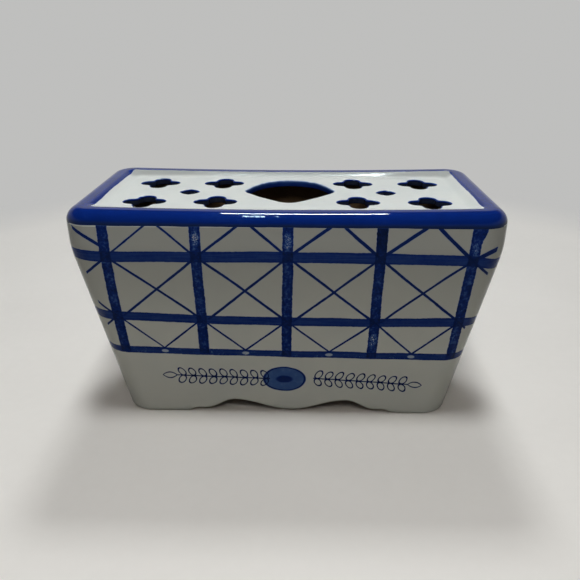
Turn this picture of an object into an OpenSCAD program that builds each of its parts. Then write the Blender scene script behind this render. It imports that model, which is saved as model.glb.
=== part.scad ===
// Flower brick: a low oblong vase with tapered walls, a pierced top for cut stems and a scalloped foot.
// Millimetres. X runs along the length, the front faces -Y, and Z = 0 is the table under the middle of the foot.
// The pieces are clay slabs: four mitred walls, a floor let in above the apron and a top laid on the walls.

/* [Body] */
// Length of the upright band under the rim
body_l = 152; // [144:1:180]
// Depth of the upright band under the rim
body_d = 72; // [66:1:90]
// Height from the table to the crest of the rim at the corners
body_h = 85.2; // [66:0.1:110]
// Length of the tapered body where it meets the table
foot_l = 128; // [112:1:144]
// Depth of the tapered body where it meets the table
foot_d = 53; // [46:1:64]
// Height of the upright band between the taper and the top slab
upright_h = 9.4; // [6:0.1:16]
// Half the height over which the taper rounds into the upright band
shoulder_blend = 4; // [1:0.5:5.5]
// Radius of the upright corners, seen from above
corner_r = 10; // [8:0.5:15]
// Thickness of the wall slabs
wall_t = 4.5; // [3.5:0.25:6]
// Radius of the worn outer edge of the foot
foot_edge_r = 1.2; // [0.6:0.1:2]

/* [Floor] */
// Height of the underside of the floor above the table
floor_rise = 7.5; // [6.5:0.5:14]
// Thickness of the floor slab
floor_t = 4; // [3:0.25:6]

/* [Apron] */
// How far the middle of the apron lies to the right of the middle of the body
apron_shift = 1.6; // [-3:0.1:3]
// Height of the middle lobe's tip above the table
lobe_h = 1.2; // [0.6:0.1:3]
// Distance from the middle to the crown of each arch
arch_x = 22; // [18:0.5:26]
// Height of the crown of each arch
arch_h = 6; // [4.8:0.1:6.4]
// Distance from the middle to the inner end of the small step beside each arch
step_x = 33.5; // [31:0.5:35]
// Length of the small step
step_l = 3.5; // [2:0.5:5]
// Height of the small step
step_h = 1.5; // [0.8:0.1:2.4]
// Length of the curve from the small step down to the table
step_fall = 4; // [2:0.5:6]

/* [Top slab] */
// Thickness of the dished plate that carries the holes
plate_t = 2.6; // [2.4:0.1:4]
// Depth of the plate below the crest of the rim
dish_depth = 2.3; // [0.8:0.1:2.8]
// How far the long sides of the rim sag between the corners, as a slab does in the kiln
rim_sag = 0.8; // [0:0.1:1.2]
// Width of the level crest of the rim
crest_w = 2; // [1:0.25:3]
// Width of the slope from the crest down to the plate
cove_w = 6; // [4:0.5:7]
// Least corner radius of the slope and the plate, seen from above
plate_corner_r = 4; // [2:0.5:6]

/* [Holes] */
// Distance from the end of the body to the centres of the outer quatrefoils
quatrefoil_end = 24; // [22.5:0.5:28]
// Distance from the front or the back of the body to the centres of a row of quatrefoils
quatrefoil_side = 22.3; // [21.8:0.1:25]
// Radius of a quatrefoil's lobes
lobe_r = 2.9; // [2.6:0.1:3.5]
// Distance from a quatrefoil's centre to its left and right lobes
lobe_x = 4.6; // [4:0.1:5.2]
// Distance from a quatrefoil's centre to its front and back lobes
lobe_y = 4.7; // [4:0.1:5]
// Radius of the round middle that joins a quatrefoil's lobes
lobe_core_r = 4.6; // [3.6:0.1:5]
// How far the small diamonds sit inward of the midpoint between two quatrefoils
diamond_shift = 1.3; // [0:0.1:3]
// Radius of the round middle of a small diamond
diamond_core_r = 3; // [2.6:0.1:3.2]
// Distance from a small diamond's centre to each of its points
diamond_reach = 3.4; // [3.2:0.1:4.4]
// Radius of a small diamond's points
diamond_tip_r = 0.7; // [0.4:0.1:1]
// Distance from the middle of the centre hole to its left and right points
mouth_reach_x = 17; // [16:0.2:19]
// Distance from the middle of the centre hole to its front and back points
mouth_reach_y = 16.6; // [14:0.2:17.4]
// Radius of the centre hole's left and right points
mouth_end_r = 4.5; // [2:0.25:6]
// Radius of the centre hole's front point
mouth_front_r = 5; // [3:0.25:7]
// Radius of the centre hole's back point
mouth_back_r = 15; // [10:0.5:16]
// How far the middle of the centre hole lies to the right of the middle of the plate
mouth_side = 0.8; // [-2:0.1:2]
// How far the middle of the centre hole lies behind the middle of the plate
mouth_back = 2.4; // [0:0.1:4]

/* [Hidden] */

glaze_white = [0.87, 0.88, 0.87];
glaze_blue = [0.07, 0.16, 0.48];

// Facets: steps round a corner, along a sagging side, up a rounded edge, across a slope and
// along each curve of the apron
corner_steps = 8;
side_steps = 12;
edge_steps = 6;
slope_steps = 6;
apron_steps = 8;
hole_fn = 48;
// Overrun of a cutting shape past the faces that it cuts
over = 1;

// The slab's rim is as thick as its plate and its dish together, and is rounded over its whole thickness
rim_r = plate_t + dish_depth;
seam_z = body_h - rim_r;
plate_z = body_h - dish_depth;
shoulder_z = seam_z - upright_h;

// Places of the holes, tied to the ends and sides of the body
quatrefoil_x = body_l / 2 - quatrefoil_end;
quatrefoil_pitch = quatrefoil_x / 2;
quatrefoil_y = body_d / 2 - quatrefoil_side;
diamond_x = quatrefoil_x - quatrefoil_pitch / 2 - diamond_shift;

// How far the taper has drawn in at height z, as a share of its reach at the table
function drawn_in(z) =
    z >= shoulder_z + shoulder_blend ? 0 :
    z <= shoulder_z - shoulder_blend ? 1 - z / shoulder_z :
    pow(shoulder_z + shoulder_blend - z, 2) / (4 * shoulder_blend * shoulder_z);

function length_at(z) = body_l - (body_l - foot_l) * drawn_in(z);
function depth_at(z) = body_d - (body_d - foot_d) * drawn_in(z);

// One corner of a rectangle with rounded corners, anticlockwise from above
function arc(l, d, r, z, corner) = [
    for (i = [0 : corner_steps])
        let (
            a = 90 * (corner + i / corner_steps),
            side_x = corner == 0 || corner == 3 ? 1 : -1,
            side_y = corner < 2 ? 1 : -1
        )
        [side_x * (l / 2 - r) + r * cos(a), side_y * (d / 2 - r) + r * sin(a), z]
];

// One ring of points round a rectangle with rounded corners, anticlockwise from above
function ring(l, d, r, z) = [for (corner = [0 : 3]) each arc(l, d, r, z, corner)];

// The points inside a long side: side is 1 for the back and -1 for the front
function long_side(l, d, r, z, side) = [
    for (i = [1 : side_steps - 1]) [side * (l / 2 - r) * (1 - 2 * i / side_steps), side * d / 2, z]
];

// The body's ring at height z, moved inward by inset
function body_ring(z, inset) =
    ring(length_at(z) - 2 * inset, depth_at(z) - 2 * inset, corner_r - inset, z);

// Sag of the rim at a distance from the middle of its long side
function sag_at(x) = rim_sag * max(1 - pow(x / (body_l / 2 - corner_r), 2), 0);

// The top slab's ring at height z, moved inward by inset and lowered by a share of the sag
function slab_ring(z, inset, share) =
    let (
        l = body_l - 2 * inset,
        d = body_d - 2 * inset,
        r = max(corner_r - inset, plate_corner_r)
    )
    [
        for (corner = [0 : 3])
            for (p = concat(arc(l, d, r, z, corner), corner % 2 == 0 ? long_side(l, d, r, z, 1 - corner) : []))
                [p[0], p[1], z - share * sag_at(p[0])]
    ];

// A closed skin over a stack of rings, with a flat face on the first and the last
module loft(rings) {
    n = len(rings[0]);
    last = len(rings) - 1;
    bottom = [for (i = [0 : n - 1]) i];
    top = [for (i = [n - 1 : -1 : 0]) last * n + i];
    sides = [
        for (k = [0 : last - 1], i = [0 : n - 1])
            let (j = (i + 1) % n)
            each [
                [k * n + i, (k + 1) * n + i, (k + 1) * n + j],
                [k * n + i, (k + 1) * n + j, k * n + j]
            ]
    ];
    polyhedron(points = [for (r = rings) each r], faces = concat([bottom, top], sides), convexity = 4);
}

// Heights of the rings through the rounded shoulder
function shoulder_heights() = [
    for (i = [0 : slope_steps]) shoulder_z - shoulder_blend + 2 * shoulder_blend * i / slope_steps
];

// The outside of the body, from the worn edge of the foot up to the seam under the top slab
module body_outside() {
    foot = [
        for (i = [0 : edge_steps - 1])
            let (a = 90 * i / edge_steps)
            body_ring(foot_edge_r * (1 - cos(a)), foot_edge_r * (1 - sin(a)))
    ];
    shoulder = [for (z = shoulder_heights()) body_ring(z, 0)];
    loft(concat(foot, [body_ring(foot_edge_r, 0)], shoulder, [body_ring(seam_z, 0)]));
}

// The space inside the walls, open past the foot and past the seam
module body_inside() {
    shoulder = [for (z = shoulder_heights()) body_ring(z, wall_t)];
    loft(concat([body_ring(-over, wall_t)], shoulder, [body_ring(seam_z + over, wall_t)]));
}

// Half a cosine wave from height a to height b, at share t of the way
function ease(a, b, t) = a + (b - a) * (1 - cos(180 * t)) / 2;

// The right half of the apron's lower edge: the lobe, the arch, the small step and the foot
apron_stations = [
    [0, lobe_h],
    [arch_x, arch_h],
    [step_x, step_h],
    [step_x + step_l, step_h],
    [step_x + step_l + step_fall, 0]
];

apron_half = [
    for (s = [1 : len(apron_stations) - 1], i = [1 : apron_steps])
        let (
            a = apron_stations[s - 1],
            b = apron_stations[s],
            t = i / apron_steps
        )
        [a[0] + (b[0] - a[0]) * t, ease(a[1], b[1], t)]
];

// The space under the scalloped apron, through the front and the back
module apron_gap() {
    last = len(apron_half) - 1;
    foot_x = apron_half[last][0];
    left = [for (i = [last : -1 : 0]) [-apron_half[i][0], apron_half[i][1]]];
    edge = concat([[-foot_x, -over]], left, [apron_stations[0]], apron_half, [[foot_x, -over]]);
    translate([apron_shift, 0, 0])
        rotate([90, 0, 0])
            linear_extrude(height = body_d + 2 * over, center = true)
                polygon(edge);
}

// Plan of the front slab between its two mitres
module front_plan() {
    x = body_l / 2 + over;
    y = body_d / 2 + over;
    polygon([[-x, -y], [x, -y], [x - y, 0], [y - x, 0]]);
}

// Plan of the right-hand end slab between its two mitres
module right_plan() {
    x = body_l / 2 + over;
    y = body_d / 2 + over;
    polygon([[x, -y], [x, y], [x - y, 0]]);
}

// The part of the tapered shell that stands on a plan
module shell_over() {
    intersection() {
        difference() {
            body_outside();
            body_inside();
        }
        translate([0, 0, -over])
            linear_extrude(height = body_h + 2 * over)
                children();
    }
}

module long_wall() {
    difference() {
        shell_over() front_plan();
        apron_gap();
    }
}

module front_wall() {
    color(glaze_white) long_wall();
}

module back_wall() {
    color(glaze_white) mirror([0, 1, 0]) long_wall();
}

module right_end_wall() {
    color(glaze_white) shell_over() right_plan();
}

module left_end_wall() {
    color(glaze_white) mirror([1, 0, 0]) shell_over() right_plan();
}

// The floor fills the space between the walls, above the arches of the apron
module floor() {
    color(glaze_white)
        loft([body_ring(floor_rise, wall_t), body_ring(floor_rise + floor_t, wall_t)]);
}

// The top slab before its holes are cut: a rounded rim, a level crest and a slope down to the plate
module dished_slab() {
    edge = [
        for (i = [0 : edge_steps])
            let (a = 90 * i / edge_steps)
            slab_ring(seam_z + rim_r * sin(a), rim_r * (1 - cos(a)), sin(a))
    ];
    cove = [
        for (i = [0 : slope_steps])
            let (t = i / slope_steps)
            slab_ring(ease(body_h, plate_z, t), rim_r + crest_w + cove_w * t, ease(1, 0, t))
    ];
    loft(concat(edge, cove));
}

// A quatrefoil: four round lobes on a round middle
module quatrefoil() {
    circle(r = lobe_core_r, $fn = hole_fn);
    for (side = [-1, 1]) {
        translate([side * lobe_x, 0]) circle(r = lobe_r, $fn = hole_fn);
        translate([0, side * lobe_y]) circle(r = lobe_r, $fn = hole_fn);
    }
}

// A small diamond with a full middle and blunt points
module diamond() {
    tip = diamond_reach - diamond_tip_r;
    hull() {
        circle(r = diamond_core_r, $fn = hole_fn);
        for (a = [0 : 90 : 270])
            rotate(a) translate([tip, 0]) circle(r = diamond_tip_r, $fn = hole_fn);
    }
}

// The mouth in the middle: a diamond with a blunt front and a round back
module mouth() {
    hull() {
        for (side = [-1, 1])
            translate([side * (mouth_reach_x - mouth_end_r), 0]) circle(r = mouth_end_r, $fn = hole_fn);
        translate([0, mouth_front_r - mouth_reach_y]) circle(r = mouth_front_r, $fn = hole_fn);
        translate([0, mouth_reach_y - mouth_back_r]) circle(r = mouth_back_r, $fn = hole_fn);
    }
}

// All the holes of the top, in plan
module hole_plan() {
    translate([mouth_side, mouth_back]) mouth();
    for (side = [-1, 1]) {
        translate([side * diamond_x, 0]) diamond();
        for (row = [-1, 1], place = [1, 2])
            translate([side * place * quatrefoil_pitch, row * quatrefoil_y]) quatrefoil();
    }
}

module pierced_top() {
    color(glaze_blue)
        difference() {
            dished_slab();
            translate([0, 0, seam_z - over])
                linear_extrude(height = rim_r + 2 * over)
                    hole_plan();
        }
}

pierced_top();
front_wall();
back_wall();
left_end_wall();
right_end_wall();
floor();
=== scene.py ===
"""Flower brick: glazed skins, brushed trellis and sprigs, light and camera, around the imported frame.

Sizes are in millimetres, in the frame's axes: X runs along the length, the front faces -Y and the table
is Z = 0. The stage, the lamps and the camera are in metres.
"""

import math
from collections import namedtuple
from functools import partialmethod

import bpy
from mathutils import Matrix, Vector
from mathutils.geometry import delaunay_2d_cdt


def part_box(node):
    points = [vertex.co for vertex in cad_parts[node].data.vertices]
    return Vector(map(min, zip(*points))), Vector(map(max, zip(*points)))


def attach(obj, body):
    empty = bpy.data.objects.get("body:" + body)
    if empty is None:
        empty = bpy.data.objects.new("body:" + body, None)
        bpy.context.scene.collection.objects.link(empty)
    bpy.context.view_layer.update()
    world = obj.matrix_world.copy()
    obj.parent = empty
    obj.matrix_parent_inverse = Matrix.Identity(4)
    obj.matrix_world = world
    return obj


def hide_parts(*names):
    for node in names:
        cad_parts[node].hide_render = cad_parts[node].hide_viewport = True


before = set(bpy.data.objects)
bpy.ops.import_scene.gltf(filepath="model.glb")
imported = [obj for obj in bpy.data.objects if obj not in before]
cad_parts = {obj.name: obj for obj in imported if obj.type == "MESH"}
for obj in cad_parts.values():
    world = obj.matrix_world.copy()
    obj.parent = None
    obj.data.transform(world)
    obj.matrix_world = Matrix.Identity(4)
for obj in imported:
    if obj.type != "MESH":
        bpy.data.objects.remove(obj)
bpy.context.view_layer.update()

MM = 0.001

# Sizes that the frame gives
top_low, top_high = (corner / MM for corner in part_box("pierced_top"))
body_l = top_high.x - top_low.x
body_d = top_high.y - top_low.y
body_h = top_high.z
seam_z = top_low.z
rim_r = body_h - seam_z

# Sizes of the body, as the solids have them
foot_l = 128.0
foot_d = 53.0
upright_h = 9.4
shoulder_blend = 4.0
corner_r = 10.0
wall_t = 4.5
foot_edge_r = 1.2
inner_edge_r = 0.8
shoulder_z = seam_z - upright_h

# Sizes of the apron, as the solids have them
apron_shift = 1.6
lobe_h = 1.2
arch_x = 22.0
arch_h = 6.0
step_x = 33.5
step_l = 3.5
step_h = 1.5
step_fall = 4.0
apron_clear_z = 10.0

# Sizes of the top and its holes, as the solids have them
dish_depth = 2.3
rim_sag = 0.8
crest_w = 2.0
cove_w = 6.0
plate_corner_r = 4.0
plate_z = body_h - dish_depth
quatrefoil_end = 24.0
quatrefoil_side = 22.3
inner_share = 0.5
lobe_r = 2.9
lobe_x = 4.6
lobe_y = 4.7
lobe_core_r = 4.6
diamond_shift = 1.3
diamond_core_r = 3.0
diamond_reach = 3.4
diamond_tip_r = 0.7
mouth_reach_x = 17.0
mouth_reach_y = 16.6
mouth_end_r = 4.5
mouth_front_r = 5.0
mouth_back_r = 15.0
mouth_side = 0.8
mouth_back = 2.4

# Softened edges of the holes: above, with a level skirt round them, below, and where two lobes run together
lip_r = 0.6
lip_skirt = 0.5
under_lip_r = 0.5
lobe_blend = 1.2

# How deep the blue goes into the mouth, and into the small holes
mouth_blue_depth = 5.0
hole_blue_depth = 1.1

# Fineness of the meshes, and of how their outlines are found
COLUMN_W = 0.9
CORNER_STEPS = 14
EDGE_STEPS = 6
RIM_STEPS = 24
RIM_CROWDING = 1.5
COVE_STEPS = 14
UPRIGHT_STEPS = 3
SHOULDER_STEPS = 16
TAPER_STEPS = 16
APRON_STEPS = 6
APRON_ROUNDS = 6
INSIDE_STEPS = 12
HOLE_POINTS = 120
TRACE_POINTS = 720
SUPPORT_DIRECTIONS = 360
SIDEWAYS_COS = 0.03
BISECTIONS = 30

QUARTER = math.pi / 2

# Edges that turn by more than this stay sharp in the shading
SHARP_ANGLE = math.radians(50)

# Which of a skin's two materials a face takes
GLAZED = 0
BARE = 1

# What a face corner that lies in no hole has for its way into one
OUT_OF_HOLES = -1.0

# What a hole's corners have for their place for the brush: above the whole trellis
PLATE_PAINT = (0.0, body_h, 0)


def drawn_in(z):
    """How far the taper has drawn in at a height, as a share of its reach at the table."""
    if z >= shoulder_z + shoulder_blend:
        return 0.0
    if z <= shoulder_z - shoulder_blend:
        return 1 - z / shoulder_z
    return (shoulder_z + shoulder_blend - z) ** 2 / (4 * shoulder_blend * shoulder_z)


def length_at(z):
    return body_l - (body_l - foot_l) * drawn_in(z)


def depth_at(z):
    return body_d - (body_d - foot_d) * drawn_in(z)


def ease(a, b, share):
    """Half a cosine wave from a to b."""
    return a + (b - a) * (1 - math.cos(math.pi * share)) / 2


def steps(start, end, count):
    """The values after start, in equal steps up to end."""
    return [start + (end - start) * i / count for i in range(1, count + 1)]


def quarter_arc(radius):
    """A quarter arc in steps: how far it has turned away, how far it has still to run on, and its length."""
    return [
        (radius * (1 - math.cos(a)), radius * (1 - math.sin(a)), radius * a)
        for a in [0] + steps(0, QUARTER, EDGE_STEPS)
    ]


# A side of the body, seen from outside with its left to the left.
# facing is the cosine and the sine of its turn from the front.
# apron is where the middle of its scallops lies.
Side = namedtuple("Side", "node number facing length depth is_long apron")
SIDES = [
    Side("front_wall", 0, (1, 0), length_at, depth_at, True, apron_shift),
    Side("right_end_wall", 1, (0, 1), depth_at, length_at, False, None),
    Side("back_wall", 2, (-1, 0), length_at, depth_at, True, -apron_shift),
    Side("left_end_wall", 3, (0, -1), depth_at, length_at, False, None),
]


def turned(side, along, out):
    """Plan place of a point that lies along a side and out from the middle of the body."""
    cos, sin = side.facing
    return along * cos + out * sin, along * sin - out * cos


def columns(side):
    """Columns of a side from mitre to mitre: share of its straight part, and share of a corner's arc.

    The last steps of a corner are tiny, so that the shading of two sides agrees where they meet.
    """
    arcs = [math.sin(QUARTER * i / CORNER_STEPS) for i in range(1, CORNER_STEPS + 1)]
    count = round((side.length(seam_z) - 2 * corner_r) / COLUMN_W)
    left = [(-1, -arc) for arc in reversed(arcs)]
    middle = [(2 * i / count - 1, 0) for i in range(count + 1)]
    right = [(1, arc) for arc in arcs]
    return left + middle + right


def corner_angle(side, z, inset):
    """Angle that a side's corner turns through before it meets the mitre of the next side."""
    lead = (body_l - body_d - length_at(z) + depth_at(z)) / 2
    swing = math.asin(lead / (math.sqrt(2) * (corner_r - inset)))
    return math.pi / 4 + (swing if side.is_long else -swing)


def stand(side, column, inset, z):
    """A column's place at a height, moved inward from the outer face: along, out, and along when unrolled."""
    share, arc = column
    angle = arc * corner_angle(side, z, inset)
    straight = side.length(z) / 2 - corner_r
    along = share * straight + (corner_r - inset) * math.sin(angle)
    out = side.depth(z) / 2 - corner_r + (corner_r - inset) * math.cos(angle)
    return along, out, share * straight + corner_r * angle


def apron_height(x):
    """Height of the apron's lower edge at a distance from its middle."""
    stations = [
        (0, lobe_h),
        (arch_x, arch_h),
        (step_x, step_h),
        (step_x + step_l, step_h),
        (step_x + step_l + step_fall, 0),
    ]
    for (x0, z0), (x1, z1) in zip(stations, stations[1:]):
        if abs(x) <= x1:
            return ease(z0, z1, (abs(x) - x0) / (x1 - x0))
    return 0.0


def lowest(side, column):
    """Height of a column's lower end.

    The apron is cut straight through in X while the column leans with the taper, so rounds close in on it.
    """
    z = 0.0
    if side.apron is not None:
        for _ in range(APRON_ROUNDS):
            z = apron_height(stand(side, column, 0, z)[0] - side.apron)
    return z


class Corner(namedtuple("Corner", "point paint lip place")):
    """A corner of a face: its point, its place for the brush, its way into a hole, and its place in the map.

    The way into a hole is a share of how deep the blue goes there.
    """


class Skin:
    """A mesh in the making."""

    def __init__(self):
        self.points = []
        self.faces = []
        self.kinds = []

    def point(self, x, y, z):
        self.points.append((x * MM, y * MM, z * MM))
        return len(self.points) - 1

    def face(self, corners, kind=GLAZED):
        self.faces.append(corners)
        self.kinds.append(kind)

    def make(self, name, materials):
        """The object of this mesh, with what the brush needs as attributes of its face corners."""
        mesh = bpy.data.meshes.new(name)
        mesh.from_pydata(self.points, [], [[corner.point for corner in face] for face in self.faces])
        for material in materials:
            mesh.materials.append(material)
        mesh.polygons.foreach_set("material_index", self.kinds)
        mesh.polygons.foreach_set("use_smooth", [True] * len(self.faces))
        corners = [corner for face in self.faces for corner in face]
        paint = [value for corner in corners for value in corner.paint]
        mesh.attributes.new("paint_at", "FLOAT_VECTOR", "CORNER").data.foreach_set("vector", paint)
        mesh.attributes.new("lip_at", "FLOAT", "CORNER").data.foreach_set("value", [c.lip for c in corners])
        places = [value for corner in corners for value in corner.place]
        mesh.uv_layers.new(name="OFBake").data.foreach_set("uv", places)
        mesh.set_sharp_from_angle(angle=SHARP_ANGLE)
        mesh.update()
        piece = bpy.data.objects.new(name, mesh)
        bpy.context.scene.collection.objects.link(piece)
        return piece


# The walls

# Places in the map: the unrolled wall lies between two narrow strips for its mitres
MAP_EDGE = 0.06
MITRE_STRIP = 0.03


def outside_heights(end):
    """Heights down the outer face of a wall, from the seam to the start of the rounded foot."""
    return (
        [seam_z]
        + steps(seam_z, shoulder_z + shoulder_blend, UPRIGHT_STEPS)
        + steps(shoulder_z + shoulder_blend, shoulder_z - shoulder_blend, SHOULDER_STEPS)
        + steps(shoulder_z - shoulder_blend, apron_clear_z, TAPER_STEPS)
        + steps(apron_clear_z, end, APRON_STEPS)
    )


def wall_section(low):
    """Section through a wall as (inset, height): down the outside, under the foot and up the inside."""
    outside = [(0.0, z) for z in outside_heights(low + foot_edge_r)]
    outer_edge = [(away, low + to_run) for away, to_run, _ in quarter_arc(foot_edge_r)[1:]]
    inner_edge = [(wall_t - to_run, low + away) for away, to_run, _ in quarter_arc(inner_edge_r)]
    inside = [
        (wall_t, z)
        for z in steps(low + inner_edge_r, apron_clear_z, APRON_STEPS)
        + steps(apron_clear_z, shoulder_z - shoulder_blend, INSIDE_STEPS)
        + steps(shoulder_z - shoulder_blend, shoulder_z + shoulder_blend, INSIDE_STEPS)
        + [seam_z]
    ]
    return outside + outer_edge + inner_edge + inside, len(outside) + len(outer_edge) - 1


def path_shares(section):
    """Share of the way round a closed section at each of its points, and 1 for the return to the first."""
    lengths = [0.0]
    for a, b in zip(section, section[1:] + section[:1]):
        lengths.append(lengths[-1] + math.dist(a, b))
    return [length / lengths[-1] for length in lengths]


def wall_skin(side):
    """One wall as a closed mesh, glazed outside and bare under the foot and inside."""
    skin = Skin()
    side_columns = columns(side)
    reference, glazed_rows = wall_section(0.0)
    shares = path_shares(reference)
    ends = [stand(side, column, 0, seam_z)[2] for column in (side_columns[0], side_columns[-1])]
    grid = []
    for column in side_columns:
        section, _ = wall_section(lowest(side, column))
        across = (stand(side, column, 0, seam_z)[2] - ends[0]) / (ends[1] - ends[0])
        u = MAP_EDGE + (1 - 2 * MAP_EDGE) * across
        strip = []
        for (inset, z), v in zip(section, shares):
            along, out, unrolled = stand(side, column, inset, z)
            point = skin.point(*turned(side, along, out), z)
            strip.append(Corner(point, (unrolled, z, side.number), OUT_OF_HOLES, (u, v)))
        strip.append(strip[0]._replace(place=(u, 1.0)))
        grid.append(strip)
    for left, right in zip(grid, grid[1:]):
        for row in range(len(left) - 1):
            kind = GLAZED if row < glazed_rows else BARE
            skin.face([left[row], left[row + 1], right[row + 1], right[row]], kind)
    for strip, start in ((grid[0], 0.0), (grid[-1], 1 - MITRE_STRIP)):
        loop = [
            corner._replace(place=(start + MITRE_STRIP * inset / wall_t, z / body_h))
            for corner, (inset, z) in zip(strip, reference)
        ]
        skin.face(loop if strip is grid[-1] else loop[::-1], BARE)
    return skin


# The top

# Places in the map, in millimetres across it: the upper side lies over the underside
MAP_W = 168.0
UPPER_V = 0.75
UNDER_V = 0.25
HOLE_MAP_SHRINK = 0.75

# How a level face is filled: inside its outline but not inside its holes, with points this close taken as one
INSIDE_WITH_HOLES = 2
FILL_GRAIN = 1e-5


class Shape:
    """The outline of a hole round its middle, from how far it reaches in each direction."""

    def __init__(self, reach):
        self.reach = reach
        trace = [2 * math.pi * i / TRACE_POINTS for i in range(TRACE_POINTS + 1)]
        outline = self.trace(trace, 0)
        walked = [0.0]
        for a, b in zip(outline, outline[1:]):
            walked.append(walked[-1] + math.dist(a, b))
        # Directions whose points lie at equal steps round the outline
        self.angles = []
        for angle, length in zip(trace, walked):
            if length >= walked[-1] * len(self.angles) / HOLE_POINTS and len(self.angles) < HOLE_POINTS:
                self.angles.append(angle)
        self.loops = [(self.trace(self.angles, grow), z, way) for grow, z, way in lip_section()]

    def trace(self, angles, grow):
        reaches = [self.reach(a, grow) for a in angles]
        return [(reach * math.cos(a), reach * math.sin(a)) for a, reach in zip(angles, reaches)]


# blue_depth is how far into a hole the blue goes before painted shade darkens it
Hole = namedtuple("Hole", "x y shape blue_depth")


def blended_least(a, b, width):
    """The lesser of two numbers, rounded off where they cross."""
    overlap = max(width - abs(a - b), 0) / width
    return min(a, b) - overlap * overlap * width / 4


def quatrefoil_reach(angle, grow):
    """Reach of four round lobes on a round middle, with softened corners between them."""
    lobes = [(lobe_x, 0), (-lobe_x, 0), (0, lobe_y), (0, -lobe_y)]
    inside, outside = 0.0, 2 * (lobe_x + lobe_r)
    for _ in range(BISECTIONS):
        middle = (inside + outside) / 2
        place = (middle * math.cos(angle), middle * math.sin(angle))
        gap = middle - lobe_core_r
        for lobe in lobes:
            gap = blended_least(gap, math.dist(place, lobe) - lobe_r, lobe_blend)
        if gap < grow:
            inside = middle
        else:
            outside = middle
    return inside


def hull_reach(circles):
    """Reach of the taut band round some circles, each (x, y, radius).

    A direction that lies nearly sideways to another can't limit its reach.
    """
    directions = [2 * math.pi * i / SUPPORT_DIRECTIONS for i in range(SUPPORT_DIRECTIONS)]
    supports = [(d, max(x * math.cos(d) + y * math.sin(d) + r for x, y, r in circles)) for d in directions]

    def reach(angle, grow):
        return min(
            (support + grow) / math.cos(angle - direction)
            for direction, support in supports
            if math.cos(angle - direction) > SIDEWAYS_COS
        )

    return reach


def holes():
    """All the holes of the top: the mouth, two small diamonds and eight quatrefoils."""
    mouth = Shape(hull_reach([
        (mouth_reach_x - mouth_end_r, 0, mouth_end_r),
        (mouth_end_r - mouth_reach_x, 0, mouth_end_r),
        (0, mouth_front_r - mouth_reach_y, mouth_front_r),
        (0, mouth_reach_y - mouth_back_r, mouth_back_r),
    ]))
    tip = diamond_reach - diamond_tip_r
    tips = [(tip, 0), (-tip, 0), (0, tip), (0, -tip)]
    diamond = Shape(hull_reach([(0, 0, diamond_core_r)] + [(x, y, diamond_tip_r) for x, y in tips]))
    quatrefoil = Shape(quatrefoil_reach)
    quatrefoil_x = body_l / 2 - quatrefoil_end
    quatrefoil_y = body_d / 2 - quatrefoil_side
    diamond_x = quatrefoil_x * (inner_share + 1) / 2 - diamond_shift
    made = [Hole(mouth_side, mouth_back, mouth, mouth_blue_depth)]
    for side in (-1, 1):
        made.append(Hole(side * diamond_x, 0, diamond, hole_blue_depth))
        for row in (-1, 1):
            for share in (inner_share, 1):
                x = side * share * quatrefoil_x
                made.append(Hole(x, row * quatrefoil_y, quatrefoil, hole_blue_depth))
    return made


def slab_place(side, column, inset):
    """Plan place of a column of the top slab's edge, moved inward."""
    share, arc = column
    r = max(corner_r - inset, plate_corner_r)
    angle = arc * math.pi / 4
    along = share * (side.length(seam_z) / 2 - inset - r) + r * math.sin(angle)
    out = side.depth(seam_z) / 2 - inset - r + r * math.cos(angle)
    return turned(side, along, out)


def sag_at(x):
    """Sag of the rim at a distance from the middle of its long side."""
    return rim_sag * max(1 - (x / (body_l / 2 - corner_r)) ** 2, 0)


# A ring of the slab's edge: how far inward, how high, its share of the sag, and how far inward when laid flat
Ring = namedtuple("Ring", "inset z sag flat_inset")


def slab_section():
    """The slab's edge as rings: the rounded rim, the crest and the slope down to the plate.

    The rim's rings crowd together towards the seam.
    """
    rounded = [QUARTER * (i / RIM_STEPS) ** RIM_CROWDING for i in range(RIM_STEPS + 1)]
    rim = [
        Ring(
            rim_r * (1 - math.cos(a)),
            seam_z + rim_r * math.sin(a),
            math.sin(a),
            rim_r * (1 - QUARTER + a),
        )
        for a in rounded
    ]
    crest = rim_r + crest_w
    cove = [
        Ring(crest + cove_w * share, ease(body_h, plate_z, share), ease(1, 0, share), crest + cove_w * share)
        for share in [0] + steps(0, 1, COVE_STEPS)
    ]
    return rim + cove


def lip_section():
    """A hole's edge as (growth of the outline, height, way from the start of the lip)."""
    lip = [(to_run, plate_z - away, length) for away, to_run, length in quarter_arc(lip_r)]
    way_down = lip_r * QUARTER + plate_z - lip_r - seam_z - under_lip_r
    under = [(away, seam_z + to_run, way_down + length) for away, to_run, length in quarter_arc(under_lip_r)]
    return [(lip_r + lip_skirt, plate_z, -lip_skirt)] + lip + under


def map_place(x, y, middle_v):
    return 0.5 + x / MAP_W, middle_v + y / MAP_W


def fill(skin, loops, upward, kind):
    """Fills a level face with holes in it: its outline is the first loop."""
    corners = []
    outlines = []
    for loop in loops:
        outlines.append(list(range(len(corners), len(corners) + len(loop))))
        corners += loop
    places = [Vector(skin.points[corner.point][:2]) / MM for corner in corners]
    _, _, triangles, sources, _, _ = delaunay_2d_cdt(places, [], outlines, INSIDE_WITH_HOLES, FILL_GRAIN)
    for triangle in triangles:
        face = [corners[sources[i][0]] for i in triangle]
        skin.face(face if upward else face[::-1], kind)


def laid_under(skin, corner):
    """A corner as the underside has it: the same point, with its place in the lower half of the map."""
    x, y, _ = skin.points[corner.point]
    return corner._replace(place=map_place(x / MM, y / MM, UNDER_V))


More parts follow.
